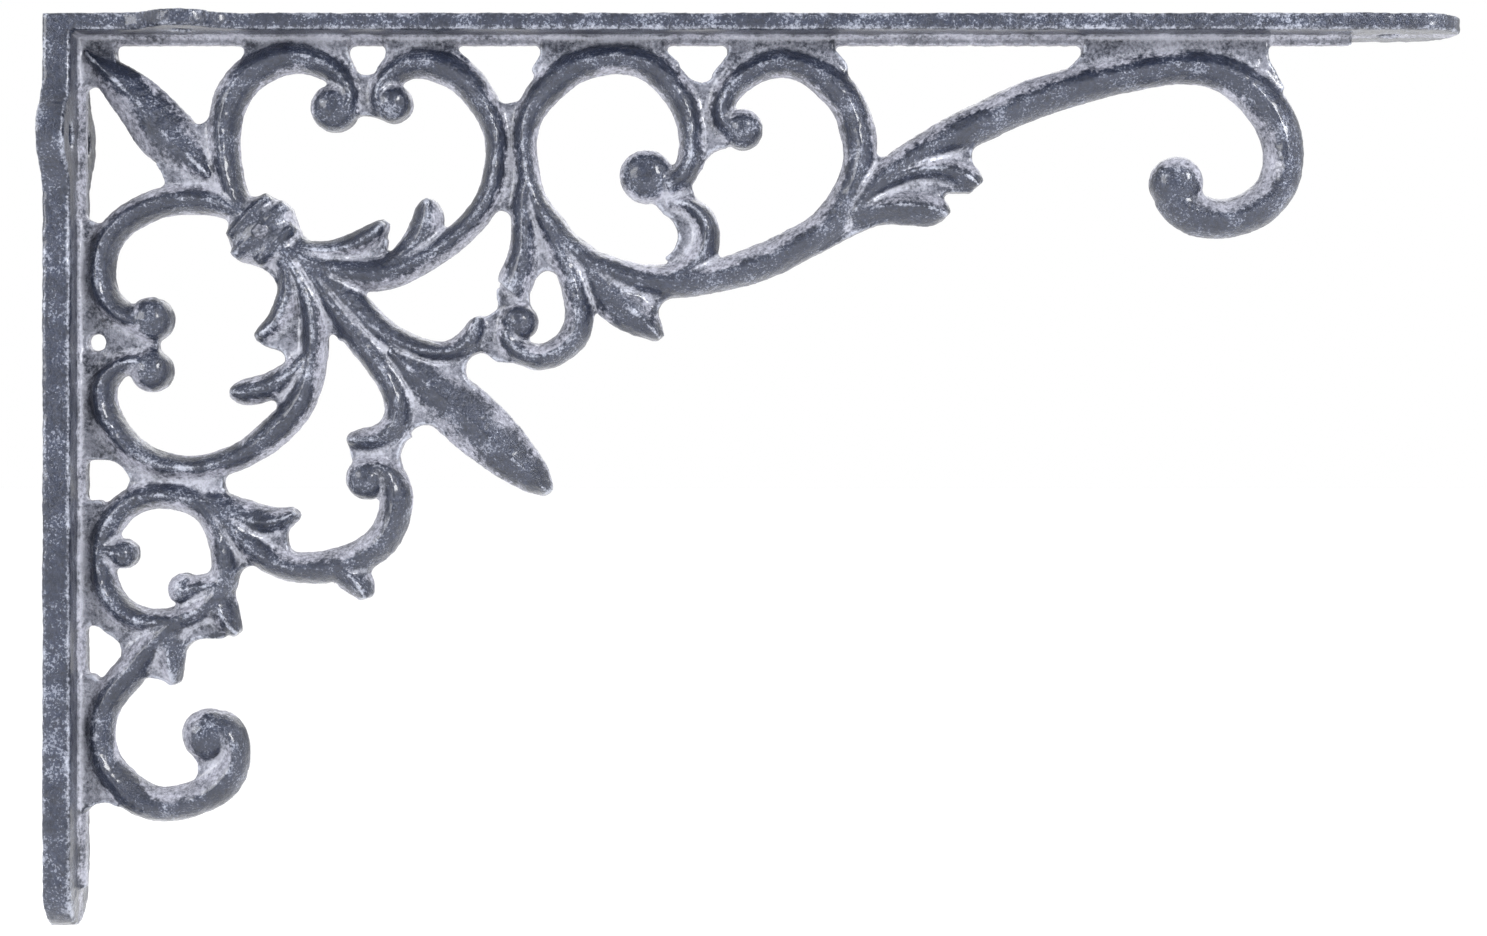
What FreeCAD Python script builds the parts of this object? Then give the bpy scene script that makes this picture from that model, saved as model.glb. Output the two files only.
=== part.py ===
# Cast scroll bracket for a shelf: two flat bars at a right angle, filled in with open scrollwork.
# X runs out from the wall, Z points up and Y runs across the bars. The origin is where the wall
# plane meets the underside of the shelf board, halfway across the bars. All sizes are millimetres.
import FreeCAD, Part
import math
import os

V = FreeCAD.Vector

# The two flat bars
bar_width = 20.5
bar_edge_radius = 0.8
wall_bar_thick = 5.8
shelf_bar_thick = 3.5
wall_rib_height = 1.4
shelf_rib_height = 2.0
rib_width = 4.4
rib_side_taper = 0.7
rib_stop = 8.0
tip_overhang = 32.8
foot_overhang = 22.2

# Screw holes, and the ears that carry a pair of them on each bar
ear_hole_spacing = 16.8
ear_hole_bore = 4.6
ear_radius = 8.0
ear_blend_radius = 8.0
wall_ear_drop = 25.5
shelf_ear_reach = 29.0
tip_hole_bore = 4.6
tip_hole_to_end = 15.0

# How far the scrollwork reaches along the shelf bar and down the wall bar
scroll_reach = 260.0
scroll_drop = 165.5

# Half thicknesses across Y, measured from the parting plane in the middle of the casting
scroll_ridge = 5.5
scroll_shoulder = 4.2
petal_ridge = 5.2
petal_shoulder = 3.9
leaflet_ridge = 4.8
leaflet_shoulder = 3.6
leaf_ridge = 5.0
leaf_shoulder = 2.7
collar_ridge = 6.6
collar_shoulder = 5.6
button_depth = 7.4
boss_depth = 6.0
knob_depth = 6.0
knob_land = 0.6
knob_fullness = 0.74
bud_depth = 5.0
pad_depth = 2.5
web_depth = 2.2

# The small hole through the web between the two lower scrolls, and its place on the drawing grid
tie_hole_bore = 4.0
tie_hole_at = (2.5, 63.5)

# The sides of a member lean in by this much for each millimetre away from the parting plane
mould_taper = 0.15
# A narrower member than this half width has less of that taper, in proportion
full_taper_half_width = 3.5
# A member thinner than this half width loses depth too, so that its tip comes to a point
full_depth_half_width = 2.0
# A curve drawn with fewer points than this also gets a section halfway between each two, and any other curve
# gets one in so many gaps at each end, which keeps the ends of the member true
dense_points = 9
dense_ends = 2
# How far a root runs into the bar that carries it before the bar trims it
root_sink = 0.6

# The drawing grid of the scrollwork: u out from the wall rib, v down from the shelf rib
grid_reach = 260.0
grid_drop = 165.5

reach = wall_bar_thick + wall_rib_height + scroll_reach + tip_overhang
drop = shelf_bar_thick + shelf_rib_height + scroll_drop + foot_overhang
wall_root = -(wall_rib_height + root_sink)
shelf_root = -(shelf_rib_height + root_sink)

scroll_form = (scroll_ridge, scroll_shoulder)
petal_form = (petal_ridge, petal_shoulder)
leaflet_form = (leaflet_ridge, leaflet_shoulder)
leaf_form = (leaf_ridge, leaf_shoulder)
collar_form = (collar_ridge, collar_shoulder)


def at(u, v, y=0.0):
    """A point of the drawing grid in the bracket's own frame."""
    x = wall_bar_thick + wall_rib_height + u * scroll_reach / grid_reach
    z = -(shelf_bar_thick + shelf_rib_height + v * scroll_drop / grid_drop)
    return V(x, y, z)


# Bars
def ear_edges(ear_at, side):
    """One side of a bar where it swells round a screw hole: hollow, round and hollow again."""
    hole_y = ear_hole_spacing / 2
    edge_y = bar_width / 2
    blend_y = edge_y + ear_blend_radius
    centres = ear_radius + ear_blend_radius
    half_length = math.sqrt(centres ** 2 - (blend_y - hole_y) ** 2)
    share = ear_radius / centres
    hole = V(ear_at, side * hole_y)
    edges = []
    touches = []
    for along in (-side, side):
        blend_centre = V(ear_at + along * half_length, side * blend_y)
        on_edge = V(ear_at + along * half_length, side * edge_y)
        on_ear = hole + (blend_centre - hole) * share
        middle = (on_edge + on_ear) * 0.5 - blend_centre
        middle.normalize()
        edges.append(Part.Arc(on_edge, blend_centre + middle * ear_blend_radius, on_ear).toShape())
        touches.append((on_edge, on_ear))
    crest = V(ear_at, side * (hole_y + ear_radius))
    round_edge = Part.Arc(touches[0][1], crest, touches[1][1]).toShape()
    return [edges[0], round_edge, edges[1]], touches[0][0], touches[1][0]


def bar(length, thick, rib_height, rib_span, ear_at, holes):
    """A bar along X with its back on Z = 0, its ribbed face on top and plain bores through it."""
    half = bar_width / 2
    tip = length - half
    near, near_start, near_end = ear_edges(ear_at, 1)
    far, far_start, far_end = ear_edges(ear_at, -1)
    outline = [Part.LineSegment(V(0, half), near_start).toShape()] + near
    outline.append(Part.LineSegment(near_end, V(tip, half)).toShape())
    outline.append(Part.Arc(V(tip, half), V(length, 0), V(tip, -half)).toShape())
    outline.append(Part.LineSegment(V(tip, -half), far_start).toShape())
    outline += far
    outline.append(Part.LineSegment(far_end, V(0, -half)).toShape())
    outline.append(Part.LineSegment(V(0, -half), V(0, half)).toShape())
    solid = Part.Face(Part.Wire(Part.sortEdges(outline)[0])).extrude(V(0, 0, thick))
    rim = [e for e in solid.Edges if e.BoundBox.ZMin > thick - 0.01 and e.BoundBox.XMax > 0.01]
    solid = solid.makeFillet(bar_edge_radius, rim)
    start, finish = rib_span
    foot = rib_width / 2
    crest = foot - rib_side_taper
    top = thick + rib_height
    sunk = thick / 2
    corners = [(-foot, sunk), (foot, sunk), (foot, thick), (crest, top), (-crest, top), (-foot, thick)]
    profile = Part.makePolygon([V(start, y, z) for y, z in corners + corners[:1]])
    solid = solid.fuse(Part.Face(profile).extrude(V(finish - start, 0, 0)))
    for along, across, bore in holes:
        solid = solid.cut(Part.makeCylinder(bore / 2, top + 2, V(along, across, -1)))
    return solid.removeSplitter()


def wall_bar():
    """The upright bar: its back lies on the wall, and it carries the corner."""
    holes = [(wall_ear_drop, side * ear_hole_spacing / 2, ear_hole_bore) for side in (-1, 1)]
    rib_span = (shelf_bar_thick, drop - rib_stop)
    solid = bar(drop, wall_bar_thick, wall_rib_height, rib_span, wall_ear_drop, holes)
    return solid.rotate(V(0, 0, 0), V(0, 1, 0), 90)


def shelf_bar():
    """The level bar: its top carries the board, and it butts against the upright bar."""
    length = reach - wall_bar_thick
    ear_at = shelf_ear_reach - wall_bar_thick
    holes = [(ear_at, side * ear_hole_spacing / 2, ear_hole_bore) for side in (-1, 1)]
    tip_hole = length - tip_hole_to_end
    holes.append((tip_hole, 0, tip_hole_bore))
    rib_span = (wall_rib_height, tip_hole - rib_stop)
    solid = bar(length, shelf_bar_thick, shelf_rib_height, rib_span, ear_at, holes)
    solid = solid.rotate(V(0, 0, 0), V(1, 0, 0), 180)
    return solid.translate(V(wall_bar_thick, 0, 0))


# Members of the scrollwork
def section(middle, across, half_width, form):
    """A section widest on the parting plane, with full round flanks that meet in two ridges."""
    ridge, shoulder = form
    depth = min(1.0, half_width / full_depth_half_width)
    flank = half_width - mould_taper * shoulder * half_width / full_taper_half_width
    edges = []
    for side, face in ((1, 1), (-1, 1), (-1, -1), (1, -1)):
        foot = middle + across * side * half_width
        bulge = middle + across * side * flank + V(0, face * shoulder * depth, 0)
        crest = middle + V(0, face * ridge * depth, 0)
        poles = [foot, bulge, crest] if side * face > 0 else [crest, bulge, foot]
        curve = Part.BezierCurve()
        curve.setPoles(poles)
        edges.append(curve.toShape())
    return Part.Wire(edges)


def member(points, form=scroll_form, first=0, last=None, closed=False):
    """A ridged member along a smooth curve through points (u, v, half width), or along part of it."""
    places = []
    for u, v, half_width in points:
        place = at(u, v)
        places.append(V(place.x, half_width, place.z))
    loop = places + places[:1] if closed else places
    steps = [0.0]
    for a, b in zip(loop, loop[1:]):
        steps.append(steps[-1] + math.sqrt(math.hypot(b.x - a.x, b.z - a.z)))
    curve = Part.BSplineCurve()
    curve.interpolate(Points=places, PeriodicFlag=closed, Parameters=steps)
    stations = steps[first:None if last is None else last + 1]
    halfway = [(a + b) / 2 for a, b in zip(stations, stations[1:])]
    if len(points) >= dense_points:
        halfway = halfway[:dense_ends] + halfway[-dense_ends:]
    stations = sorted(stations + halfway)
    rings = []
    for step in stations:
        place = curve.value(step)
        slope = curve.tangent(step)[0]
        across = V(-slope.z, 0, slope.x)
        across.normalize()
        rings.append(section(V(place.x, 0, place.z), across, place.y, form))
    return Part.makeLoft(rings, True, False)


def knob(u, v, radius, depth=knob_depth):
    """A round boss on both faces, with a small flat on its crown."""
    crown = V(knob_land, depth, 0)
    rim = V(radius, 0, 0)
    base = V(knob_land, -depth, 0)
    flank = V(knob_land + (radius - knob_land) * knob_fullness, depth * knob_fullness, 0)
    outline = [
        Part.LineSegment(V(0, depth, 0), crown).toShape(),
        Part.Arc(crown, flank, rim).toShape(),
        Part.Arc(rim, V(flank.x, -flank.y, 0), base).toShape(),
        Part.LineSegment(base, V(0, -depth, 0)).toShape(),
        Part.LineSegment(V(0, -depth, 0), V(0, depth, 0)).toShape(),
    ]
    solid = Part.Face(Part.Wire(outline)).revolve(V(0, 0, 0), V(0, 1, 0), 360)
    return solid.translate(at(u, v))


def web(points, depth=web_depth):
    """A flat web between members. A point with a third value is the middle of a rounded notch."""
    edges = []
    count = len(points)
    for i, point in enumerate(points):
        before = points[i - 1]
        after = points[(i + 1) % count]
        here = at(point[0], point[1], -depth)
        if len(point) == 3:
            start = at(before[0], before[1], -depth)
            finish = at(after[0], after[1], -depth)
            edges.append(Part.Arc(start, here, finish).toShape())
        elif len(after) == 2:
            edges.append(Part.LineSegment(here, at(after[0], after[1], -depth)).toShape())
    return Part.Face(Part.Wire(edges)).extrude(V(0, 2 * depth, 0))


def joined(*solids):
    """Solids of one member, made into one."""
    return solids[0].fuse(list(solids[1:]))


def collar():
    """Three rolls and a button on a round boss, laid over the stems where the scrolls are bound together."""
    first = member(
        [(30.8, 41.3, 1.6), (33.0, 39.1, 2.3), (35.2, 36.9, 2.6), (37.4, 34.7, 2.3), (39.6, 32.5, 1.6)],
        collar_form)
    middle = member(
        [(32.0, 45.4, 1.8), (34.8, 42.6, 2.7), (37.6, 39.8, 3.0), (40.4, 37.0, 2.7), (43.2, 34.2, 1.8)],
        collar_form)
    last = member(
        [(36.7, 46.9, 1.6), (38.8, 44.8, 2.3), (40.8, 42.8, 2.6), (42.8, 40.8, 2.3), (44.9, 38.7, 1.6)],
        collar_form)
    boss = knob(37.8, 39.8, 7.6, boss_depth)
    return joined(boss, middle, first, last, knob(37.4, 40.2, 2.2, button_depth))


# Curves that one member hands on to the next, each point as (u, v, half width)
ring_vine_curve = [
    (124.0, 30.0, 3.0), (127.5, 27.5, 2.8), (129.0, 23.5, 2.8), (129.0, 18.5, 2.8), (127.5, 12.5, 3.2),
    (124.0, 7.5, 3.4), (118.0, 3.5, 3.4), (110.5, 3.0, 3.4), (103.5, 5.0, 3.6), (98.0, 9.5, 3.6),
    (94.5, 15.0, 3.0), (93.5, 21.0, 2.6), (94.0, 27.0, 2.6), (95.5, 32.5, 2.6), (98.5, 37.5, 3.0),
    (103.0, 43.0, 3.0), (109.5, 47.2, 3.2), (118.0, 50.0, 3.5), (126.5, 50.2, 3.7), (134.0, 49.2, 3.6),
    (142.5, 46.8, 3.9), (151.0, 43.0, 3.9), (158.0, 38.5, 3.9), (162.5, 32.0, 3.7), (165.0, 24.5, 3.6),
    (164.5, 18.0, 3.8), (162.5, 12.5, 3.8), (158.0, 7.5, 3.8), (152.5, 4.5, 3.2), (146.0, 4.0, 3.2),
    (140.5, 6.5, 3.0), (136.5, 10.5, 2.8), (135.5, 15.0, 2.6), (137.5, 18.0, 2.6),
]
vine_starts, vine_ends = 16, 22
wall_ring_curve = [
    (3.5, 112.5, 2.8), (3.5, 106.5, 2.8), (5.5, 101.5, 3.0), (10.5, 97.0, 3.0), (17.0, 96.0, 3.0),
    (23.5, 97.5, 3.2), (27.5, 101.5, 3.2), (29.5, 107.5, 3.2), (29.5, 113.5, 3.2), (26.8, 118.6, 3.0),
    (21.5, 121.8, 2.8), (15.5, 123.0, 2.8), (9.0, 121.5, 3.0), (5.0, 117.5, 3.0),
]
wall_ring_half = 9

# Each member in the order in which it goes in: a later one is trimmed by those before it
members = {}
members["wall_bar"] = wall_bar()
members["shelf_bar"] = shelf_bar()
members["collar"] = collar()

members["heart_top_inner_scroll"] = joined(
    member(
        [(34.5, 36.5, 2.4), (32.0, 32.5, 2.8), (30.3, 27.5, 3.2), (29.5, 22.5, 3.4),
         (29.5, 17.0, 3.6), (30.5, 12.5, 3.8), (33.0, 8.0, 3.9), (37.5, 4.5, 3.8), (44.0, 2.5, 3.6),
         (50.5, 4.0, 3.2), (55.0, 7.5, 2.8), (56.5, 11.5, 2.3), (54.5, 14.5, 2.1)]),
    knob(53.0, 13.5, 4.9))
members["heart_low_inner_scroll"] = joined(
    member(
        [(34.5, 37.0, 2.4), (31.5, 35.0, 2.7), (27.5, 33.5, 3.0), (22.0, 33.0, 3.2),
         (16.5, 33.5, 3.2), (11.5, 35.5, 3.2), (7.0, 38.5, 3.2), (4.0, 43.0, 3.2), (3.0, 48.5, 3.2),
         (4.0, 53.5, 3.2), (7.0, 57.0, 3.0), (11.5, 59.0, 2.8)]), knob(14.0, 58.5, 4.5))
members["heart_top_outer_scroll"] = joined(
    member(
        [(42.5, 43.5, 2.6), (48.5, 46.5, 2.8), (56.0, 48.5, 3.4), (64.5, 48.5, 3.6),
         (71.0, 46.0, 3.2), (77.0, 42.5, 2.8), (82.5, 37.5, 2.8), (86.0, 32.0, 2.8),
         (87.5, 25.5, 2.6), (87.5, 19.0, 2.8), (85.5, 13.5, 3.2), (81.5, 8.0, 3.6), (75.5, 4.5, 3.6),
         (69.5, 4.0, 3.2), (65.0, 6.5, 2.8), (62.5, 10.5, 2.1), (63.5, 13.5, 2.1)]),
    knob(65.5, 12.5, 3.9))
members["heart_low_outer_scroll"] = joined(
    member(
        [(41.0, 43.0, 2.0), (43.5, 46.0, 2.2), (45.8, 50.0, 2.4), (48.0, 55.0, 2.6),
         (48.8, 60.5, 2.8), (48.5, 66.5, 3.0), (47.0, 73.0, 3.2), (44.0, 78.5, 3.4),
         (39.5, 83.0, 3.4), (34.0, 87.0, 3.0), (27.5, 89.5, 2.8), (22.0, 90.2, 2.6),
         (15.5, 89.3, 2.8), (9.5, 86.0, 3.0), (5.5, 81.0, 3.0), (3.5, 75.5, 3.0), (4.5, 71.0, 2.8),
         (8.5, 68.0, 2.3), (12.5, 68.0, 2.3)]), knob(14.0, 69.5, 4.3))
members["corner_leaf"] = member(
    [(0.0, 1.5, 1.2), (4.0, 5.3, 3.2), (8.0, 9.0, 4.7), (12.0, 13.0, 5.6), (15.5, 17.3, 6.3),
     (19.0, 20.8, 6.0), (23.5, 25.0, 4.2), (27.0, 28.5, 1.0)], leaf_form)

members["lower_vine"] = member(ring_vine_curve, first=vine_starts, last=vine_ends)
members["ring_scroll"] = joined(member(ring_vine_curve, last=vine_starts), knob(119.5, 28.0, 5.6))
members["shelf_scroll"] = joined(member(ring_vine_curve, first=vine_ends), knob(140.0, 18.0, 4.1))
members["front_arm"] = joined(
    member(
        [(164.0, 35.5, 2.8), (169.5, 28.8, 3.2), (174.5, 25.0, 3.5), (181.0, 21.2, 3.8),
         (187.5, 18.0, 4.2), (195.0, 14.5, 4.3), (203.5, 11.0, 4.3), (212.0, 8.5, 4.1),
         (220.5, 6.5, 3.9), (229.0, 5.0, 3.8), (236.5, 4.6, 3.8), (244.0, 6.6, 4.2),
         (250.0, 11.0, 4.6), (254.0, 17.0, 4.6), (255.4, 23.5, 4.4), (254.0, 30.0, 4.3),
         (249.0, 35.0, 4.3), (242.0, 37.0, 4.3), (235.5, 35.5, 4.6), (231.5, 31.5, 4.0)]),
    knob(232.5, 29.5, 5.6))
members["front_arm_lower_leaf"] = member(
    [(163.0, 36.0, 3.8), (171.5, 34.5, 3.8), (177.0, 34.5, 4.1), (181.5, 35.5, 3.2),
     (183.5, 36.6, 1.4)], leaf_form)
members["front_arm_upper_leaf"] = member(
    [(167.0, 33.0, 1.9), (172.5, 28.5, 2.6), (179.0, 26.6, 3.0), (186.0, 27.5, 3.5),
     (190.0, 30.2, 1.8)], leaf_form)

members["fleur_upper_petal"] = member(
    [(48.0, 47.0, 2.4), (57.5, 56.0, 3.4), (63.5, 61.5, 3.2), (70.0, 64.5, 2.6), (76.5, 65.5, 2.4),
     (81.0, 63.7, 2.8), (83.3, 60.2, 2.4), (83.6, 58.0, 1.2)], petal_form)
members["fleur_lower_petal"] = member(
    [(46.5, 46.5, 2.0), (56.5, 60.0, 3.2), (62.5, 67.8, 3.3), (66.0, 74.0, 3.2), (66.5, 80.0, 3.2),
     (63.0, 83.5, 2.8), (58.5, 84.2, 2.4), (55.8, 84.2, 1.0)], petal_form)
members["fleur_spear"] = member(
    [(65.0, 65.0, 2.6), (71.0, 70.5, 5.1), (77.5, 76.0, 6.4), (85.0, 82.5, 6.4), (91.5, 88.5, 5.2),
     (96.5, 93.2, 3.2), (98.8, 95.6, 1.0)], leaf_form)
members["heart_top_inner_leaflet"] = member(
    [(41.5, 42.0, 1.8), (51.0, 44.0, 2.3), (56.0, 43.2, 2.8), (60.5, 41.0, 2.7), (63.0, 38.9, 1.9),
     (64.2, 37.6, 0.8)], leaflet_form)
members["heart_top_outer_leaflet"] = member(
    [(63.5, 47.5, 1.9), (69.5, 43.5, 3.2), (72.5, 39.0, 3.7), (73.0, 34.8, 2.8), (73.0, 32.8, 1.0)],
    leaflet_form)
members["heart_low_inner_leaflet"] = member(
    [(41.0, 43.5, 1.8), (43.5, 51.0, 2.7), (42.5, 56.0, 2.9), (40.3, 59.7, 2.5), (37.2, 61.9, 1.7),
     (36.0, 62.4, 0.8)], leaflet_form)
members["heart_low_outer_leaflet"] = member(
    [(48.5, 65.5, 2.1), (44.0, 70.0, 2.9), (38.5, 73.0, 3.0), (33.5, 74.0, 2.8), (30.8, 74.0, 1.0)],
    leaflet_form)

members["ring_crook"] = member(
    [(125.0, 49.0, 2.6), (130.5, 46.0, 3.2), (132.5, 41.0, 2.8), (131.5, 37.0, 2.6),
     (128.5, 34.3, 1.9), (124.0, 34.5, 1.3)], petal_form)
members["ring_leaf"] = member(
    [(107.5, 47.5, 3.6), (114.0, 54.5, 5.4), (119.0, 59.0, 3.8), (122.5, 62.7, 1.1)], leaf_form)
members["drop_leaf"] = member(
    [(94.0, 30.0, 2.6), (93.5, 37.0, 3.0), (93.4, 43.5, 3.2), (92.0, 49.5, 3.9), (90.5, 52.5, 3.6)],
    petal_form)
members["drop_scroll"] = joined(
    member(
        [(97.0, 35.5, 2.6), (100.5, 42.0, 3.0), (103.5, 49.0, 3.0), (105.0, 55.5, 3.2),
         (104.5, 61.0, 3.2), (101.0, 65.0, 3.0), (96.5, 66.5, 2.8), (91.5, 64.5, 2.8),
         (90.0, 61.0, 2.6)], petal_form), knob(92.5, 59.0, 3.6))

members["wall_ring_upper_half"] = member(wall_ring_curve, last=wall_ring_half, closed=True)
members["wall_ring_lower_half"] = member(wall_ring_curve, first=wall_ring_half, closed=True)
members["wall_ring_left_bud"] = joined(
    member([(3.5, 107.6, 2.4), (8.0, 108.5, 2.6)]),
    knob(8.0, 108.5, 3.0, bud_depth))
members["wall_ring_right_bud"] = joined(
    member([(28.5, 115.0, 2.6), (21.0, 116.0, 2.8)]),
    knob(21.0, 116.0, 3.2, bud_depth))
members["wall_ring_right_leaf"] = member(
    [(27.5, 116.5, 3.4), (29.5, 121.5, 3.4), (32.5, 125.5, 1.2)], leaf_form)
members["wall_ring_drop_leaf"] = member(
    [(17.5, 123.5, 3.8), (18.0, 130.0, 3.4), (19.0, 136.0, 1.3)], leaf_form)
members["wall_vine"] = joined(
    member(
        [(25.0, 97.0, 3.0), (30.0, 101.5, 3.2), (35.0, 106.5, 3.2), (40.0, 110.0, 3.2),
         (46.5, 111.5, 3.4), (53.0, 111.0, 3.6), (58.5, 109.0, 3.6), (63.5, 105.0, 3.6),
         (65.8, 99.5, 3.6), (66.0, 94.5, 3.4), (64.0, 90.5, 2.6), (61.5, 90.0, 1.9)]),
    knob(60.0, 92.5, 4.3))
members["wall_vine_spur"] = member(
    [(53.5, 111.0, 3.2), (57.5, 114.0, 3.6), (59.8, 118.0, 1.6)], leaf_form)
members["wall_vine_leaf"] = member(
    [(26.5, 97.5, 3.4), (34.0, 101.0, 4.1), (40.0, 101.5, 3.2), (45.0, 99.5, 1.4)], leaf_form)
members["foot_scroll"] = joined(
    member(
        [(19.5, 123.0, 3.2), (13.5, 128.5, 3.4), (8.5, 134.5, 3.6), (4.5, 140.0, 3.4),
         (3.0, 146.0, 3.2), (4.0, 152.5, 3.4), (7.5, 157.5, 3.8), (13.5, 161.5, 3.8),
         (20.0, 161.6, 3.8), (26.0, 159.5, 3.8), (30.5, 155.5, 3.6), (32.0, 151.0, 3.0),
         (30.5, 146.5, 3.4), (27.0, 145.5, 3.4)]), knob(26.0, 147.0, 5.3))


def trimmed(shape, others):
    """A shape less everything in its way."""
    for other in others:
        if shape.BoundBox.intersect(other.BoundBox):
            shape = shape.cut(other)
    return shape


def largest(shape):
    return max(shape.Solids, key=lambda solid: solid.Volume)


nodes = {}
for name, shape in members.items():
    nodes[name] = largest(trimmed(shape, nodes.values()))

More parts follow.
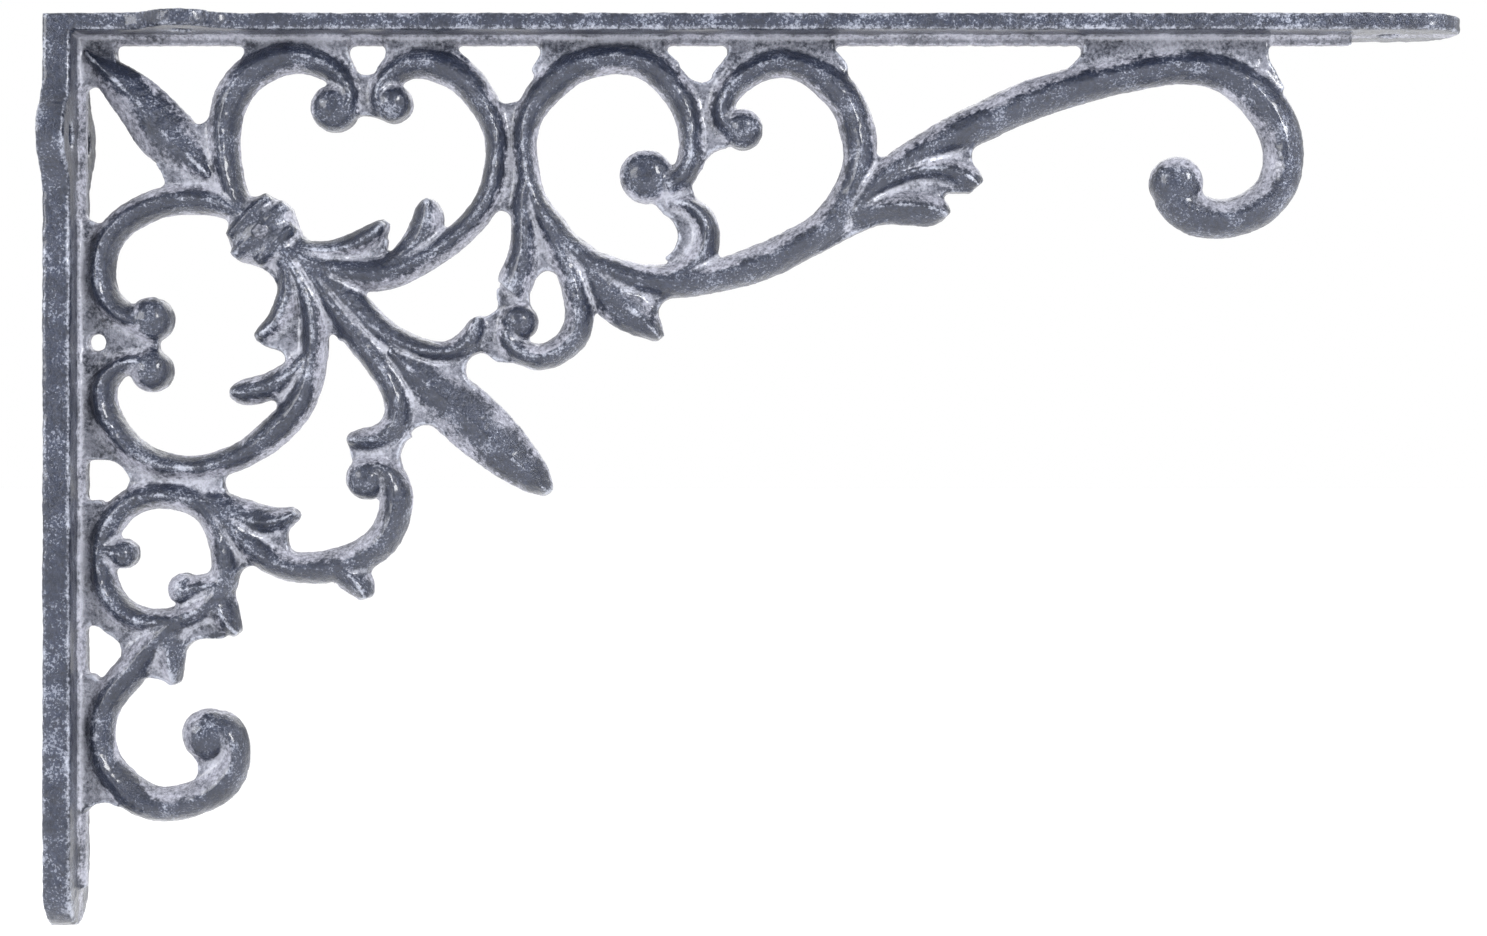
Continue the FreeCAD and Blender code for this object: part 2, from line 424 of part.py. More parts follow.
# Pads and webs that are cast with one member: each fills the room that the other members leave
roots = {
    "corner_leaf": [
        web(
            [(21.5, 15.0), (24.5, 17.0, 1), (26.5, 15.0), (30.5, 22.5), (31.0, 30.0), (24.0, 25.0),
             (19.0, 20.0)]),
        web(
            [(24.0, 25.0), (30.0, 31.0), (27.5, 34.5), (17.5, 31.5), (16.5, 28.0, 1), (15.0, 25.5),
             (18.0, 21.0)]),
    ],
    "fleur_upper_petal": [
        web([(52.0, 47.5), (60.5, 51.5), (58.5, 53.0, 1), (60.5, 55.5), (57.0, 56.5), (50.0, 49.5)]),
    ],
    "fleur_lower_petal": [
        web(
            [(47.5, 54.0), (50.5, 52.5), (56.0, 60.0), (54.0, 63.5), (52.5, 61.5, 1), (51.0, 64.5),
             (48.5, 62.0)]),
    ],
    "fleur_spear": [
        web(
            [(71.0, 64.0), (80.0, 63.0), (84.5, 65.5), (81.0, 70.5, 1), (83.5, 73.0), (77.5, 76.0),
             (70.0, 69.0)]),
        web(
            [(66.0, 71.0), (70.0, 71.0), (78.0, 79.0), (76.5, 83.5), (73.0, 81.0, 1), (68.5, 84.0),
             (66.0, 80.0)]),
    ],
    "heart_top_inner_scroll": [
        web(
            [(33.5, shelf_root), (56.0, shelf_root), (56.0, 2.0), (57.5, 5.0), (52.0, 5.5),
             (37.5, 5.0), (32.5, 4.5), (34.0, 2.0)], pad_depth),
    ],
    "heart_top_outer_scroll": [
        web(
            [(64.0, shelf_root), (79.5, shelf_root), (79.0, 1.0), (82.0, 3.5), (82.0, 7.0),
             (75.5, 5.0), (66.0, 6.0), (62.0, 5.5), (64.0, 2.5)], pad_depth),
    ],
    "ring_scroll": [
        web(
            [(97.0, shelf_root), (124.0, shelf_root), (123.5, 1.0), (126.5, 4.0), (127.5, 8.5),
             (109.5, 3.5), (98.5, 9.0), (95.0, 5.5), (97.0, 2.0)], pad_depth),
    ],
    "shelf_scroll": [
        web(
            [(137.0, shelf_root), (159.5, shelf_root), (159.5, 1.0), (162.5, 4.5), (162.0, 7.5),
             (150.0, 5.0), (138.5, 8.0), (133.5, 6.5), (137.0, 2.0)], pad_depth),
    ],
    "front_arm": [
        web(
            [(212.5, shelf_root), (252.0, shelf_root), (252.0, 3.0), (255.5, 9.5), (252.5, 11.5),
             (237.5, 5.5), (213.0, 8.0), (209.0, 5.5), (212.5, 2.0)], pad_depth),
        web([(165.5, 19.5), (169.0, 24.0, 1), (173.0, 22.5), (170.0, 30.0), (165.0, 31.5)]),
    ],
    "heart_low_inner_scroll": [
        web(
            [(wall_root, 37.5), (1.5, 37.5), (5.5, 41.5), (3.5, 48.0), (5.5, 55.5), (8.0, 58.5),
             (wall_root, 62.0)], pad_depth),
    ],
    "heart_low_outer_scroll": [
        web(
            [(wall_root, 65.5), (7.5, 67.5), (4.5, 75.5), (6.0, 81.0), (11.5, 87.5), (13.5, 90.5),
             (9.5, 92.5), (6.5, 89.0, 1), (3.5, 88.5), (wall_root, 88.5)], pad_depth),
    ],
    "wall_ring_upper_half": [
        web(
            [(wall_root, 97.5), (3.0, 97.0), (6.5, 100.0), (4.5, 106.5), (4.5, 112.0),
             (wall_root, 112.0)], pad_depth),
    ],
    "wall_ring_lower_half": [
        web(
            [(wall_root, 112.0), (4.5, 112.0), (4.5, 116.0), (7.0, 121.0), (11.5, 124.5),
             (7.0, 127.0), (3.0, 124.0), (1.5, 123.5), (wall_root, 125.0)], pad_depth),
    ],
    "foot_scroll": [
        web(
            [(wall_root, 134.5), (1.5, 134.0), (5.0, 137.5), (3.0, 146.0), (4.5, 153.5), (9.0, 159.0),
             (7.0, 162.5), (3.5, 161.5, 1), (0.5, 163.0), (wall_root, 164.5)], pad_depth),
        web(
            [(25.0, 149.5), (32.5, 149.5), (32.5, 155.0), (27.5, 159.5), (21.0, 158.5),
             (24.0, 154.0, 1), (21.5, 150.5)]),
        web([(4.5, 119.0), (13.5, 123.0), (14.0, 129.5), (6.0, 134.0), (7.0, 127.0, 1), (2.5, 124.0)]),
    ],
    "ring_crook": [
        web(
            [(124.0, 34.5), (131.0, 35.0), (132.0, 43.5), (129.0, 48.0), (123.0, 45.5),
             (126.0, 42.0, 1), (123.0, 36.0)]),
    ],
    "ring_leaf": [
        web([(117.0, 52.5), (127.0, 53.0), (122.5, 55.6, 1), (121.5, 59.5), (117.5, 57.0)]),
    ],
    "front_arm_lower_leaf": [
        web([(155.5, 42.5), (163.0, 37.0), (173.0, 37.0), (165.0, 40.0, 1), (156.5, 44.5)]),
    ],
    "wall_ring_drop_leaf": [
        web(
            [(13.5, 126.0), (18.0, 128.0), (20.0, 136.0), (18.0, 136.5), (12.5, 135.0, 1),
             (9.0, 137.5), (9.0, 131.0)]),
    ],
    "wall_ring_right_leaf": [
        web(
            [(15.5, 121.0), (26.5, 118.0), (31.0, 123.0), (29.5, 126.5), (25.0, 126.5),
             (21.5, 128.5, 1), (20.5, 131.5), (17.5, 129.0)]),
    ],
    "wall_vine": [
        web(
            [(27.0, 101.0), (32.5, 103.5), (38.0, 108.5), (38.0, 111.5), (32.5, 112.5, 1),
             (32.0, 118.5), (29.0, 118.5)]),
    ],
    "wall_vine_leaf": [
        web([(32.5, 103.0), (43.5, 102.5), (43.0, 106.0, 1), (46.5, 109.5), (37.5, 110.0)]),
    ],
    "front_arm_upper_leaf": [
        web(
            [(166.5, 32.0), (179.0, 26.0), (187.5, 28.5), (189.0, 31.5), (183.0, 31.5), (182.0, 34.0),
             (172.5, 34.5)]),
        web(
            [(173.5, 25.5), (187.5, 19.5), (193.0, 19.5), (189.0, 22.5, 1), (190.5, 27.0),
             (185.5, 28.5), (177.0, 26.0)]),
    ],
    "heart_low_inner_leaflet": [
        web(
            [(41.0, 58.0), (47.0, 57.5), (48.5, 65.5), (43.0, 68.0), (42.0, 65.5), (37.5, 64.0),
             (36.5, 62.5)]),
        web([(35.0, 44.5), (43.0, 44.0), (44.0, 51.0), (41.5, 52.5), (40.0, 49.5), (35.5, 46.0)]),
    ],
    "heart_low_outer_leaflet": [
        web(
            [(36.5, 75.0), (40.5, 76.0, 1), (35.5, 84.0), (40.0, 84.0), (46.0, 76.0), (48.5, 69.0),
             (42.5, 71.5)]),
    ],
    "heart_top_inner_leaflet": [
        web([(50.0, 44.0), (61.0, 40.0), (64.5, 41.5), (64.0, 44.0), (60.5, 46.0), (52.0, 47.5)]),
    ],
}
for name, webs in roots.items():
    for plate in webs:
        others = [shape for other, shape in nodes.items() if other != name]
        nodes[name] = largest(nodes[name].fuse(trimmed(plate, others)))

# Webs that tie two or more members together
ties = {
    "corner_gusset": web(
        [(wall_root, shelf_root), (8.0, shelf_root), (6.4, 1.6, 1), (8.5, 6.0), (5.0, 9.5),
         (1.4, 8.8, 1), (wall_root, 11.0)], pad_depth),
    "heart_top_tie": web(
        [(56.5, 3.0), (60.0, 6.5, 1), (63.5, 3.0), (65.0, 9.5), (63.5, 16.0), (59.5, 15.0, 1),
         (56.0, 15.5), (55.0, 10.5)]),
    "heart_low_tie": web(
        [(wall_root, 58.0), (11.5, 57.5), (17.0, 61.5), (15.5, 64.0, 1), (17.0, 66.5), (11.5, 69.5),
         (wall_root, 69.5)]),
    "heart_ring_tie": web(
        [(85.5, 11.0), (90.0, 12.5, 1), (94.0, 11.0), (95.5, 22.5), (94.5, 34.5), (91.0, 36.5),
         (89.5, 35.5, 1), (85.0, 37.0), (86.0, 22.5)]),
    "ring_shelf_scroll_tie": web(
        [(127.5, 5.5), (131.0, 8.0, 1), (135.0, 5.5), (138.5, 10.5), (137.5, 20.5), (136.5, 22.0),
         (133.5, 23.0, 1), (131.5, 26.5), (129.0, 22.5)]),
    "ring_crook_tie": web(
        [(120.0, 31.5), (129.0, 30.0), (130.5, 34.5), (124.0, 36.5), (122.0, 34.5, 1)]),
    "drop_scroll_web": web(
        [(95.0, 34.0), (101.0, 41.5), (104.0, 50.5), (101.0, 50.5), (98.5, 48.0, 1), (96.0, 50.0),
         (94.0, 43.5)]),
    "drop_leaf_tie": web(
        [(87.5, 52.0), (95.0, 50.5), (94.5, 54.0, 1), (95.5, 57.5), (92.5, 59.0), (89.0, 59.0),
         (88.0, 55.5, 1)]),
    "petal_drop_tie": web(
        [(83.0, 59.0), (85.5, 58.0), (88.5, 56.0), (91.0, 59.5), (91.0, 64.0), (93.0, 68.0),
         (87.5, 67.5), (85.0, 65.5), (82.0, 64.0)]),
    "petal_vine_tie": web(
        [(56.5, 84.0), (67.0, 82.0), (69.5, 83.5), (67.0, 87.0, 1), (67.5, 90.0), (64.5, 91.0),
         (58.5, 91.0), (56.5, 87.5, 1)]),
    "heart_wall_ring_tie": web(
        [(10.5, 89.0), (24.0, 90.0), (35.5, 89.0), (29.5, 94.0, 1), (32.0, 97.0), (25.0, 98.5),
         (13.5, 97.5), (6.5, 98.5), (9.5, 93.0, 1)]),
}
tie_hole = Part.makeCylinder(tie_hole_bore / 2, 2 * pad_depth, at(*tie_hole_at, -pad_depth), V(0, 1, 0))
ties["heart_low_tie"] = ties["heart_low_tie"].cut(tie_hole)
for name, shape in ties.items():
    nodes[name] = largest(trimmed(shape, nodes.values()))

os.makedirs("parts", exist_ok=True)
for name, shape in nodes.items():
    shape.exportStep("parts/" + name + ".step")
    print(name, shape.isValid(), shape.ShapeType, round(shape.Volume, 1))
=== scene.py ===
# Looks of the cast-iron shelf bracket. The solids give the form. Here they get one continuous cast skin,
# with filled inner corners and a sand-cast grain, which is then parted into one closed piece for each solid.
import math
import bmesh
import bpy
import numpy as np
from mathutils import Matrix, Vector
from mathutils.bvhtree import BVHTree


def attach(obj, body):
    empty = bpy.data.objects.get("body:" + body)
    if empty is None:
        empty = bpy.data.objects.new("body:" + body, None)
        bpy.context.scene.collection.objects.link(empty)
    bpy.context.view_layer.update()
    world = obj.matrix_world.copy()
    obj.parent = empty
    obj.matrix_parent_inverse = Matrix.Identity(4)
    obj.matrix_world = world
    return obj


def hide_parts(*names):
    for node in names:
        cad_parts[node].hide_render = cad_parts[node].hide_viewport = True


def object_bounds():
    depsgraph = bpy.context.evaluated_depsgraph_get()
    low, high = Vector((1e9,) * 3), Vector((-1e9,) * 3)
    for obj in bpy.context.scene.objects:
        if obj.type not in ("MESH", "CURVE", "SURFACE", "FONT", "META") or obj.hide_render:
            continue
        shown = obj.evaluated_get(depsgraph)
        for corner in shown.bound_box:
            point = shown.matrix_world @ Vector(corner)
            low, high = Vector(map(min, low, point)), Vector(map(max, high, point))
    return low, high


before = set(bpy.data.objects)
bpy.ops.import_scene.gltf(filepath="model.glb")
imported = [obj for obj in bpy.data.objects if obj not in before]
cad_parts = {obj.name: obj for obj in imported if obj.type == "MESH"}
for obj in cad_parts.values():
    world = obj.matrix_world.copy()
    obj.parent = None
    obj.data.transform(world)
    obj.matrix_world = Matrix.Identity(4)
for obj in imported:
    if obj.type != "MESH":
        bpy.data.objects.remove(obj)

start_low, start_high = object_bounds()
MM = 0.001

# The photograph's frame: its size in pixels, what a pixel covers in the bracket's middle plane, where the
# frame's upper left corner lies in that plane, and the camera's distance from it
photo_wide, photo_high = 1487, 936
pixel = 0.2135 * MM
photo_left, photo_top = -11.34 * MM, 4.22 * MM
middle = Vector((photo_left + pixel * photo_wide / 2, 0, photo_top - pixel * photo_high / 2))
camera_distance = 640 * MM
nearest_seen = 10 * MM
sensor_width = 36.0

# The cast skin: the fineness of its mesh, how far one smoothing moves a point, how often it is smoothed for
# its ridges, for its filled corners and to tell ridges from hollows, and the lumps and grain of the mould
voxel = 0.45 * MM
smoothing_step = 0.5
crisp_smoothing = 2
corner_smoothing = 60
broad_smoothing = 12
lump_size = 7.0 * MM
lump_height = 0.28 * MM
lump_detail = 1
grain_size = 1.7 * MM
grain_height = 0.34 * MM
grain_detail = 2
noise_middle = 0.5

# Points closer than this are one: in a solid, in the middle plane, and at the foot of a closing wall
solid_merge = 0.002 * MM
mirror_merge = 0.02 * MM
foot_merge = 0.01 * MM

# The collar: how much its edges are rounded at these distances from the middle of its button. The button is
# a dome, a little higher than the flat crown of the solid's own and a little further from the wall.
collar_bands = np.array((1.7, 2.2, 8.5, 10.5)) * MM
collar_rounding = (0.0, 0.3, 0.3, 0.0)
button_radius = 1.55 * MM
button_rise = 0.25 * MM
button_shift = 0.6 * MM
button_sides = 24
button_rings = 12
crown_flatness = 0.01 * MM

# Shelter: how far round a point the iron counts, on a grid of small cells with a margin of empty ones, and
# the percentage of the points that get less than full shelter
shelter_reach = 15.0 * MM
shelter_cell = 0.6 * MM
shelter_margin = 80
shelter_full = 97

# Wear of the bars and the collar, and their painted ridge highlight: the most shelter on the bars' sides,
# the shelter of their outer faces and how far a point is turned that way to be on one, the shelter of the
# collar's button, and of its grooves for each millimetre of depth, and how much of the crest remains for
# that highlight
bar_shelter = 0.0
bar_back_shelter = -1.0
bar_back_turn = 0.5
bar_crest = 0.85
button_shelter = 1.0
groove_shelter = 5.0
collar_crest = 0.75

# The floor, and the strength of the tent of light round the sides, in front and behind, and as the camera
# sees it
floor_below = 120 * MM
floor_reach = 30.0
tent_round = 1.6
tent_ends = 0.45
tent_seen = 1.0


def linear(hex_colour):
    """An sRGB hex colour as the linear values that the shader takes."""
    values = [int(hex_colour[i:i + 2], 16) / 255 for i in (1, 3, 5)]
    return [v / 12.92 if v <= 0.04045 else ((v + 0.055) / 1.055) ** 2.4 for v in values] + [1.0]


def add(tree, kind, settings=None, inputs=None):
    """Adds a node with its settings. An input is a plain value, or another node's output to link."""
    node = tree.nodes.new(kind)
    for name, value in (settings or {}).items():
        setattr(node, name, value)
    for name, value in (inputs or {}).items():
        if isinstance(value, bpy.types.NodeSocket):
            tree.links.new(value, node.inputs[name])
        else:
            node.inputs[name].default_value = value
    return node


def link(thing):
    """Puts an object into the scene."""
    bpy.context.scene.collection.objects.link(thing)
    return thing


def evaluated(thing):
    """A new mesh with the object's modifiers applied."""
    return bpy.data.meshes.new_from_object(thing.evaluated_get(bpy.context.evaluated_depsgraph_get()))


def points(mesh):
    """The places of a mesh's points."""
    flat = np.empty(len(mesh.vertices) * 3, np.float32)
    mesh.vertices.foreach_get("co", flat)
    return flat.reshape(-1, 3)


def directions(mesh):
    """The normals at a mesh's points."""
    flat = np.empty(len(mesh.vertices) * 3, np.float32)
    mesh.vertex_normals.foreach_get("vector", flat)
    return flat.reshape(-1, 3)


def marks(mesh, name):
    """The values that a mesh's points keep under a name."""
    values = np.empty(len(mesh.vertices), np.float32)
    mesh.attributes[name].data.foreach_get("value", values)
    return values


def mark(mesh, name, values):
    """Each point keeps a value under a name, which the material reads."""
    kept = mesh.attributes.get(name) or mesh.attributes.new(name, "FLOAT", "POINT")
    kept.data.foreach_set("value", values.astype(np.float32))


# The skin
def button_top():
    """The middle of the collar's button on the front, by the crown where the collar stands out furthest."""
    collar = points(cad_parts["collar"].data)
    front = collar[:, 1].min()
    crown = collar[collar[:, 1] < front + crown_flatness].mean(axis=0)
    return np.array((crown[0] + button_shift, front - button_rise, crown[2]))


def from_button(mesh):
    """How far a mesh's points lie from the axis of the collar's button."""
    aside = points(mesh) - button_top()
    return np.hypot(aside[:, 0], aside[:, 2])


def joined_solids():
    """All the solids in one mesh, each face marked with the place of its solid in the list of nodes. The
    front of the collar gets its button's full dome."""
    whole = bmesh.new()
    owner = whole.faces.layers.int.new("owner")
    for place, node in enumerate(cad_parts.values()):
        count = len(whole.faces)
        one = bmesh.new()
        one.from_mesh(node.data)
        bmesh.ops.remove_doubles(one, verts=one.verts, dist=solid_merge)
        merged = bpy.data.meshes.new("merged")
        one.to_mesh(merged)
        one.free()
        whole.from_mesh(merged)
        bpy.data.meshes.remove(merged)
        whole.faces.ensure_lookup_table()
        for face in whole.faces[count:]:
            face[owner] = place
    dome = bmesh.ops.create_uvsphere(
        whole, u_segments=button_sides, v_segments=button_rings, radius=button_radius)["verts"]
    bmesh.ops.translate(whole, verts=dome, vec=Vector(button_top()) + Vector((0, button_radius, 0)))
    collar_place = list(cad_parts).index("collar")
    for vert in dome:
        for face in vert.link_faces:
            face[owner] = collar_place
    return whole


def soft_skin(whole):
    """One closed skin over the joined solids, as the pattern maker left it: crisp ridges and filled inner
    corners. A well smoothed copy gives the filling. It counts where it lies outside the crisp skin, and in
    part inside it too on the collar. Each point keeps its filling in millimetres."""
    skin = link(bpy.data.objects.new("skin", bpy.data.meshes.new("skin")))
    whole.to_mesh(skin.data)
    cover = skin.modifiers.new("cover", "REMESH")
    cover.mode = "VOXEL"
    cover.voxel_size = voxel
    smoothing = skin.modifiers.new("smoothing", "SMOOTH")
    smoothing.factor = smoothing_step
    smoothing.iterations = crisp_smoothing
    crisp = evaluated(skin)
    smoothing.iterations = corner_smoothing
    soft = evaluated(skin)
    skin.modifiers.clear()
    skin.data = crisp
    rise = ((points(soft) - points(crisp)) * directions(crisp)).sum(axis=1)
    rounding = np.interp(from_button(crisp), collar_bands, collar_rounding)
    filled = points(crisp) + np.where(rise > 0, rise, rise * rounding)[:, None] * directions(crisp)
    crisp.vertices.foreach_set("co", filled.ravel())
    mark(crisp, "filling", np.clip(rise, 0, None) / MM)
    bpy.data.meshes.remove(soft)
    return skin


def share_out(skin, whole):
    """Gives each face of the skin's front half to the solid that it lies nearest to, then mirrors that half.
    Each point keeps its place as it is before the grain."""
    owner = whole.faces.layers.int["owner"]
    whole.faces.ensure_lookup_table()
    tree = BVHTree.FromBMesh(whole)
    shell = bmesh.new()
    shell.from_mesh(skin.data)
    both_halves = shell.verts[:] + shell.edges[:] + shell.faces[:]
    bmesh.ops.bisect_plane(shell, geom=both_halves, plane_co=(0, 0, 0), plane_no=(0, 1, 0), clear_outer=True)
    for face in shell.faces:
        face.material_index = whole.faces[tree.find_nearest(face.calc_center_median())[2]][owner]
    front_half = shell.verts[:] + shell.edges[:] + shell.faces[:]
    bmesh.ops.mirror(shell, geom=front_half, axis="Y", merge_dist=mirror_merge)
    bmesh.ops.recalc_face_normals(shell, faces=shell.faces)
    rest = shell.verts.layers.float_vector.new("rest")
    for vert in shell.verts:
        vert[rest] = vert.co
    shell.to_mesh(skin.data)
    shell.free()


def give_crest(skin):
    """Each point keeps how far it stands out of a smoother skin, in millimetres: ridges are above 0, hollows
    below."""
    smoothing = skin.modifiers.new("smoothing", "SMOOTH")
    smoothing.factor = smoothing_step
    smoothing.iterations = broad_smoothing
    smooth = evaluated(skin)
    skin.modifiers.clear()
    out = ((points(skin.data) - points(smooth)) * directions(skin.data)).sum(axis=1)
    mark(skin.data, "crest", out / MM)
    bpy.data.meshes.remove(smooth)


def give_grain(skin):
    """The lumps and grain of a sand mould."""
    for name, size, height, detail in (
        ("lumps", lump_size, lump_height, lump_detail),
        ("grain", grain_size, grain_height, grain_detail),
    ):
        texture = bpy.data.textures.new(name, "CLOUDS")
        texture.noise_scale = size
        texture.noise_depth = detail
        displace = skin.modifiers.new(name, "DISPLACE")
        displace.texture = texture
        displace.texture_coords = "LOCAL"
        displace.strength = height
        displace.mid_level = noise_middle
    grained = evaluated(skin)
    skin.modifiers.clear()
    skin.data = grained


def give_shelter(skin):
    """Each point keeps how far its side is turned towards the thick of the casting: above 0 on sides that
    face it, which keep their pale dry coat, and below 0 on sides that face away, which hands and cloths rub
    dark."""
    place = points(skin.data)
    normals = directions(skin.data)
    flat = place[:, (0, 2)] / shelter_cell
    low = np.floor(flat.min(axis=0)) - shelter_margin
    size = (np.ceil(flat.max(axis=0)) - low).astype(int) + shelter_margin
    column, row = (flat - low).astype(int).T
    iron = np.zeros(size)
    np.maximum.at(iron, (column, row), np.abs(place[:, 1]))
    reach = np.arange(-shelter_margin, shelter_margin + 1)
    spread = np.exp(-0.5 * (reach * shelter_cell / shelter_reach) ** 2)
    spread /= spread.sum()
    for axis in (0, 1):
        iron = np.apply_along_axis(np.convolve, axis, iron, spread, "same")
    out, up = np.gradient(iron)
    towards = out[column, row] * normals[:, 0] + up[column, row] * normals[:, 2]
    mark(skin.data, "shelter", towards / np.percentile(np.abs(towards), shelter_full))


def rub_clean(bar, outward):
    """The bars' sides are open to hand and cloth, so they keep little of the pale coat, and none on the face
    that lies on the wall or carries the board. Their long edges get a finer painted highlight than the
    scrolls' ridges."""
    shelter = np.minimum(marks(bar, "shelter"), bar_shelter)
    turned = directions(bar) @ np.array(outward, np.float32)
    mark(bar, "shelter", np.where(turned > bar_back_turn, bar_back_shelter, shelter))
    mark(bar, "crest", marks(bar, "crest") * bar_crest)


def fill_grooves(collar):
    """The grooves between the collar's rolls hold the pale coat that the rolls have lost, and so does the
    button. The rolls, rounder than the scrolls' ridges, get less of the painted highlight."""
    crest = marks(collar, "crest")
    shelter = np.maximum(marks(collar, "shelter"), -groove_shelter * crest)
    mark(collar, "shelter", np.where(from_button(collar) < button_radius, button_shelter, shelter))
    mark(collar, "crest", crest * collar_crest)


def part(skin):
    """Parts the skin into one object for each solid."""
    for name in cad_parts:
        skin.data.materials.append(bpy.data.materials.new("part." + name))
    bpy.ops.object.select_all(action="DESELECT")
    bpy.context.view_layer.objects.active = skin
    skin.select_set(True)
    bpy.ops.object.mode_set(mode="EDIT")
    bpy.ops.mesh.select_all(action="SELECT")
    bpy.ops.mesh.separate(type="MATERIAL")
    bpy.ops.object.mode_set(mode="OBJECT")
    pieces = {}
    for piece in bpy.context.selected_objects:
        label = piece.data.materials[piece.data.polygons[0].material_index]
        pieces[label.name.removeprefix("part.")] = piece
    return pieces


def close(piece):
    """Closes a piece where it was parted from its neighbours. The casting tapers from its parting plane to
    both faces, so a wall from each open edge straight to that plane stays inside it, and the two sides'
    walls meet."""
    shell = bmesh.new()
    shell.from_mesh(piece.data)
    rest = shell.verts.layers.float_vector["rest"]
    for face in shell.faces:
        face.smooth = True
        face.material_index = 0
    rim = [edge for edge in shell.edges if edge.is_boundary]
    for edge in rim:
        edge.smooth = False
    walls = bmesh.ops.extrude_edge_only(shell, edges=rim)["geom"]
    feet = [corner for corner in walls if isinstance(corner, bmesh.types.BMVert)]
    for foot in feet:
        foot.co = (foot[rest].x, 0.0, foot[rest].z)
    bmesh.ops.remove_doubles(shell, verts=feet, dist=foot_merge)
    shell.to_mesh(piece.data)
    shell.free()


# Materials
def sealed_cast_iron():
    """Sand-cast iron under a thin slate-blue sealing coat: dark and half glossy on the crowns, which are
    rubbed clean, and pale, dry and matt low down and on sheltered sides. Dust lies in the hollows, with
    painted light that lifts the shade of the inner corners, the crowns have painted glints, and a broken
    painted highlight runs along the ridges."""
    # Moulding sand is finer than this speckle, which is drawn coarse enough to show
    speckle_size = 0.9 * MM
    patch_size = 6.0 * MM
    glint_size = 0.5 * MM
    pit_depth = 0.35 * MM

    # Each pair runs from the darkest to the lightest of the mottling
    sealed_colours = linear("#0f1524"), linear("#262d40")
    dry_colours = linear("#3a3d48"), linear("#a3a4b0")
    web_colours = linear("#3c3f4a"), linear("#777984")
    # Painted glints: pale specks for the sparkle of the rough glossy coat
    painted_glint_colour = linear("#7d8290")
    # Pale dust, and painted light that lifts the shade of the inner corners
    dust_and_fill_light_colour = linear("#b0b2bc")
    # Painted highlight: the pale colour along the ridges
    ridge_highlight_colour = linear("#a6aab6")
    sealed_roughness, dry_roughness = 0.34, 0.7

    # Over which height from the middle plane the dry coat gives way to the sealed one, and how far shelter,
    # patches and speckle move that border
    dry_below, sealed_above = 2.3 * MM, 3.7 * MM
    shelter_moves, patch_moves, speckle_moves = 6 * MM, 5 * MM, 3.5 * MM

    # Where each effect starts, where it is full, its greatest strength, and how much the patches, the
    # mottling or the filling of the corners count in it
    mottle_start, mottle_full = -0.2, 0.22
    mottle_patches = 0.6
    glint_start, glint_full = 0.58, 0.7
    glint_strength = 0.6
    glint_patches = 0.7
    web_start, web_full = 0.7, 0.95
    # The pale of the hollows is dust and painted light together; the filling of the corners adds painted
    # light only
    dust_and_fill_light_start, dust_and_fill_light_full = -0.025, -0.1
    dust_and_fill_light_strength = 0.55
    dust_and_fill_light_unrest = -0.1
    corner_fill_light = -0.15
    ridge_highlight_start, ridge_highlight_full = 0.07, 0.15
    ridge_highlight_strength = 0.6
    ridge_highlight_unrest = 0.3

    # Settings that several nodes share. In a colour mix, inputs 6 and 7 are the colours, and output 2 is the
    # result.
    weigh = {"operation": "MULTIPLY_ADD"}
    unsigned = {"operation": "ABSOLUTE"}
    less = {"operation": "SUBTRACT"}
    eased = {"interpolation_type": "SMOOTHSTEP"}
    colours = {"data_type": "RGBA"}

    material = bpy.data.materials.new("sealed cast iron")
    material.use_nodes = True
    tree = material.node_tree
    shader = tree.nodes["Principled BSDF"]
    shader.inputs["Metallic"].default_value = 0.3
    shader.inputs["Coat Weight"].default_value = 0.4
    shader.inputs["Coat Roughness"].default_value = 0.15

    # What a point of the surface knows of its place on the casting
    place = add(tree, "ShaderNodeTexCoord").outputs["Object"]
    crest = add(tree, "ShaderNodeAttribute", {"attribute_name": "crest"}).outputs["Fac"]
    shelter = add(tree, "ShaderNodeAttribute", {"attribute_name": "shelter"}).outputs["Fac"]
    filling = add(tree, "ShaderNodeAttribute", {"attribute_name": "filling"}).outputs["Fac"]
    normal = add(tree, "ShaderNodeNewGeometry").outputs["Normal"]
    facing = add(tree, "ShaderNodeSeparateXYZ", inputs={"Vector": normal}).outputs["Y"]
    facing = add(tree, "ShaderNodeMath", unsigned, {0: facing}).outputs[0]
    depth = add(tree, "ShaderNodeSeparateXYZ", inputs={"Vector": place}).outputs["Y"]
    depth = add(tree, "ShaderNodeMath", unsigned, {0: depth}).outputs[0]

    # Speckle and patches, and both together
    speckle = add(tree, "ShaderNodeTexNoise", inputs={
        "Vector": place, "Scale": 1 / speckle_size, "Detail": 3.0, "Roughness": 0.75}).outputs["Fac"]
    patches = add(tree, "ShaderNodeTexNoise", inputs={
        "Vector": place, "Scale": 1 / patch_size, "Detail": 3.0, "Roughness": 0.6}).outputs["Fac"]
    grit = add(tree, "ShaderNodeMath", less, {0: speckle, 1: noise_middle}).outputs[0]
    drift = add(tree, "ShaderNodeMath", less, {0: patches, 1: noise_middle}).outputs[0]
    unrest = add(tree, "ShaderNodeMath", weigh, {0: drift, 1: mottle_patches, 2: grit}).outputs[0]
    mottle = add(tree, "ShaderNodeMapRange", inputs={
        "Value": unrest, "From Min": mottle_start, "From Max": mottle_full}).outputs[0]

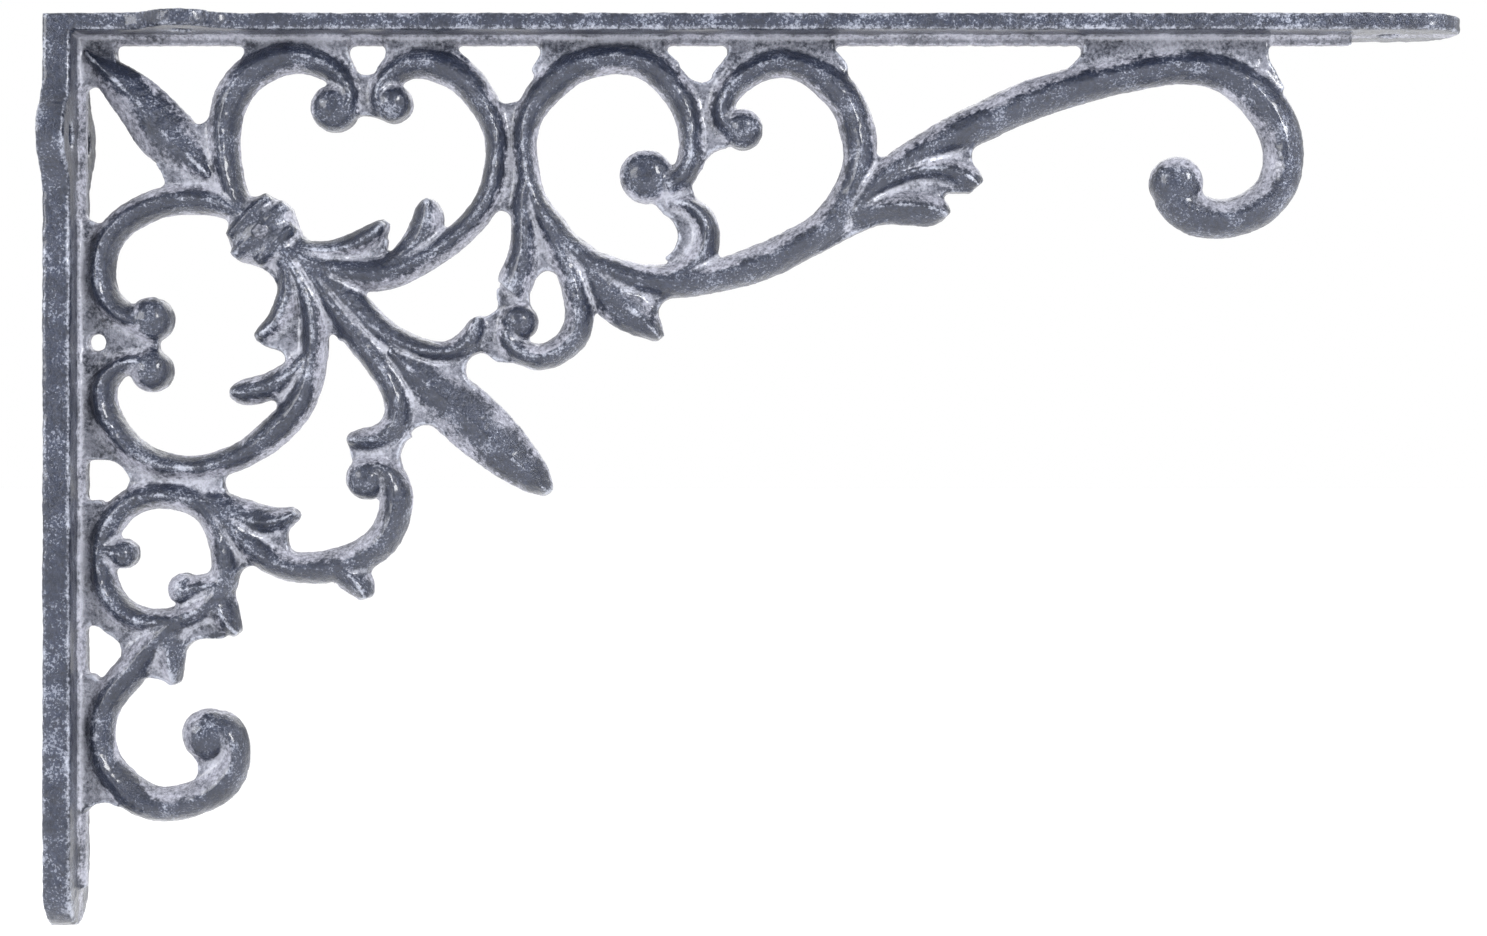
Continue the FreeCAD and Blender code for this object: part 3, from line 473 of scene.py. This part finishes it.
    # The dark sealed coat of the crowns, with painted glints that stand in for the sparkle of its gloss
    sealed = add(tree, "ShaderNodeMix", colours, {
        0: mottle, 6: sealed_colours[0], 7: sealed_colours[1]}).outputs[2]
    painted_glint = add(tree, "ShaderNodeTexNoise", inputs={
        "Vector": place, "Scale": 1 / glint_size, "Detail": 2.0, "Roughness": 0.6}).outputs["Fac"]
    painted_glint = add(tree, "ShaderNodeMath", weigh, {0: drift, 1: glint_patches, 2: painted_glint}).outputs[0]
    painted_glint = add(tree, "ShaderNodeMapRange", inputs={
        "Value": painted_glint, "From Min": glint_start, "From Max": glint_full,
        "To Max": glint_strength}).outputs[0]
    sealed = add(tree, "ShaderNodeMix", colours, {0: painted_glint, 6: sealed, 7: painted_glint_colour}).outputs[2]

    # The pale dry coat of the sides, and the calmer one of the webs, which face the front
    dry = add(tree, "ShaderNodeMix", colours, {0: mottle, 6: dry_colours[0], 7: dry_colours[1]}).outputs[2]
    web = add(tree, "ShaderNodeMapRange", eased, {
        "Value": facing, "From Min": web_start, "From Max": web_full}).outputs[0]
    calm = add(tree, "ShaderNodeMix", colours, {0: mottle, 6: web_colours[0], 7: web_colours[1]}).outputs[2]
    dry = add(tree, "ShaderNodeMix", colours, {0: web, 6: dry, 7: calm}).outputs[2]

    # The dry coat stays low on the casting, more on the sides that the iron shelters, and in patches
    level = add(tree, "ShaderNodeMath", weigh, {0: shelter, 1: -shelter_moves, 2: depth}).outputs[0]
    level = add(tree, "ShaderNodeMath", weigh, {0: drift, 1: -patch_moves, 2: level}).outputs[0]
    level = add(tree, "ShaderNodeMath", weigh, {0: grit, 1: -speckle_moves, 2: level}).outputs[0]
    kept = add(tree, "ShaderNodeMapRange", eased, {
        "Value": level, "From Min": sealed_above, "From Max": dry_below}).outputs[0]
    colour = add(tree, "ShaderNodeMix", colours, {0: kept, 6: sealed, 7: dry}).outputs[2]

    # Dust in the hollows, which is also painted light that lifts the shade of the hollows and filled inner
    # corners
    dust_and_fill_light = add(tree, "ShaderNodeMath", weigh, {0: unrest, 1: dust_and_fill_light_unrest, 2: crest}).outputs[0]
    dust_and_fill_light = add(tree, "ShaderNodeMath", weigh, {0: filling, 1: corner_fill_light, 2: dust_and_fill_light}).outputs[0]
    dust_and_fill_light = add(tree, "ShaderNodeMapRange", eased, {
        "Value": dust_and_fill_light, "From Min": dust_and_fill_light_start, "From Max": dust_and_fill_light_full, "To Max": dust_and_fill_light_strength}).outputs[0]
    colour = add(tree, "ShaderNodeMix", colours, {0: dust_and_fill_light, 6: colour, 7: dust_and_fill_light_colour}).outputs[2]

    # The painted highlight along the ridges, broken by the patches
    ridge_highlight = add(tree, "ShaderNodeMath", weigh, {0: unrest, 1: ridge_highlight_unrest, 2: crest}).outputs[0]
    ridge_highlight = add(tree, "ShaderNodeMapRange", inputs={
        "Value": ridge_highlight, "From Min": ridge_highlight_start, "From Max": ridge_highlight_full, "To Max": ridge_highlight_strength}).outputs[0]
    colour = add(tree, "ShaderNodeMix", colours, {0: ridge_highlight, 6: colour, 7: ridge_highlight_colour}).outputs[2]
    tree.links.new(colour, shader.inputs["Base Color"])

    # The dry coat is matt, and the speckle is pitted
    roughness = add(tree, "ShaderNodeMapRange", inputs={
        "Value": kept, "To Min": sealed_roughness, "To Max": dry_roughness}).outputs[0]
    tree.links.new(roughness, shader.inputs["Roughness"])
    bump = add(tree, "ShaderNodeBump", inputs={
        "Height": speckle, "Strength": 1.0, "Distance": pit_depth}).outputs[0]
    tree.links.new(bump, shader.inputs["Normal"])
    return material


def white_paper():
    """Matt white paper sweep: no gloss, so that it gives back only soft light."""
    material = bpy.data.materials.new("white paper")
    material.use_nodes = True
    shader = material.node_tree.nodes["Principled BSDF"]
    shader.inputs["Base Color"].default_value = linear("#fbfbfc")
    shader.inputs["Roughness"].default_value = 0.95
    return material


# The casting
iron = sealed_cast_iron()
solids = joined_solids()
casting = soft_skin(solids)
share_out(casting, solids)
solids.free()
give_crest(casting)
give_grain(casting)
give_shelter(casting)
for name, piece in part(casting).items():
    close(piece)
    piece.name = name + "_casting"
    piece.data.name = piece.name
    piece.data.materials.clear()
    piece.data.materials.append(iron)
    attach(piece, "root")
    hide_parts(name)
for bar, outward in (("wall_bar", (-1, 0, 0)), ("shelf_bar", (0, 0, 1))):
    rub_clean(bpy.data.objects[bar + "_casting"].data, outward)
fill_grooves(bpy.data.objects["collar_casting"].data)
for label in [m for m in bpy.data.materials if m.name.startswith("part.")]:
    bpy.data.materials.remove(label)

# The floor
sweep = bmesh.new()
bmesh.ops.create_grid(sweep, x_segments=1, y_segments=1, size=floor_reach)
bmesh.ops.translate(sweep, verts=sweep.verts, vec=(0, 0, start_low.z - floor_below))
floor_mesh = bpy.data.meshes.new("floor")
sweep.to_mesh(floor_mesh)
sweep.free()
floor = link(bpy.data.objects.new("floor", floor_mesh))
floor_mesh.materials.append(white_paper())

# The light: a white tent that is bright all round and dim in front and behind, so that the sides of the
# casting shine and its two faces stay dark. The camera sees plain white behind the bracket.
world = bpy.data.worlds.new("studio")
bpy.context.scene.world = world
world.use_nodes = True
tent = world.node_tree
direction = add(tent, "ShaderNodeTexCoord").outputs["Generated"]
across = add(tent, "ShaderNodeSeparateXYZ", inputs={"Vector": direction}).outputs["Y"]
across = add(tent, "ShaderNodeMath", {"operation": "ABSOLUTE"}, {0: across}).outputs[0]
glow = add(tent, "ShaderNodeMapRange", inputs={
    "Value": across, "To Min": tent_round, "To Max": tent_ends}).outputs[0]
seen = add(tent, "ShaderNodeLightPath").outputs["Is Camera Ray"]
glow = add(tent, "ShaderNodeMix", {"data_type": "FLOAT"}, {0: seen, 2: glow, 3: tent_seen}).outputs[0]
tent.nodes["Background"].inputs["Color"].default_value = linear("#ffffff")
tent.links.new(glow, tent.nodes["Background"].inputs["Strength"])


def softbox(name, place, size, watts):
    """A square soft light, placed from the middle of the picture and turned to it."""
    lamp = bpy.data.lights.new(name, "AREA")
    lamp.shape = "SQUARE"
    lamp.size = size
    lamp.energy = watts
    thing = link(bpy.data.objects.new(name, lamp))
    thing.location = middle + Vector(place)
    thing.rotation_euler = (-Vector(place)).to_track_quat("-Z", "Y").to_euler()


softbox("key light", place=(0.65, -0.65, 0.38), size=0.3, watts=12)
softbox("fill light", place=(-0.75, -0.6, 0.3), size=0.5, watts=9)
softbox("back light", place=(0.2, 0.9, 0.6), size=0.7, watts=4)

# The camera
view = bpy.data.cameras.new("camera")
view.sensor_width = sensor_width
view.lens = sensor_width * camera_distance / (pixel * photo_wide)
view.clip_start = nearest_seen
camera = link(bpy.data.objects.new("camera", view))
camera.location = middle - Vector((0, camera_distance, 0))
camera.rotation_euler = (math.pi / 2, 0, 0)
bpy.context.scene.camera = camera
bpy.context.scene.view_settings.view_transform = "Standard"
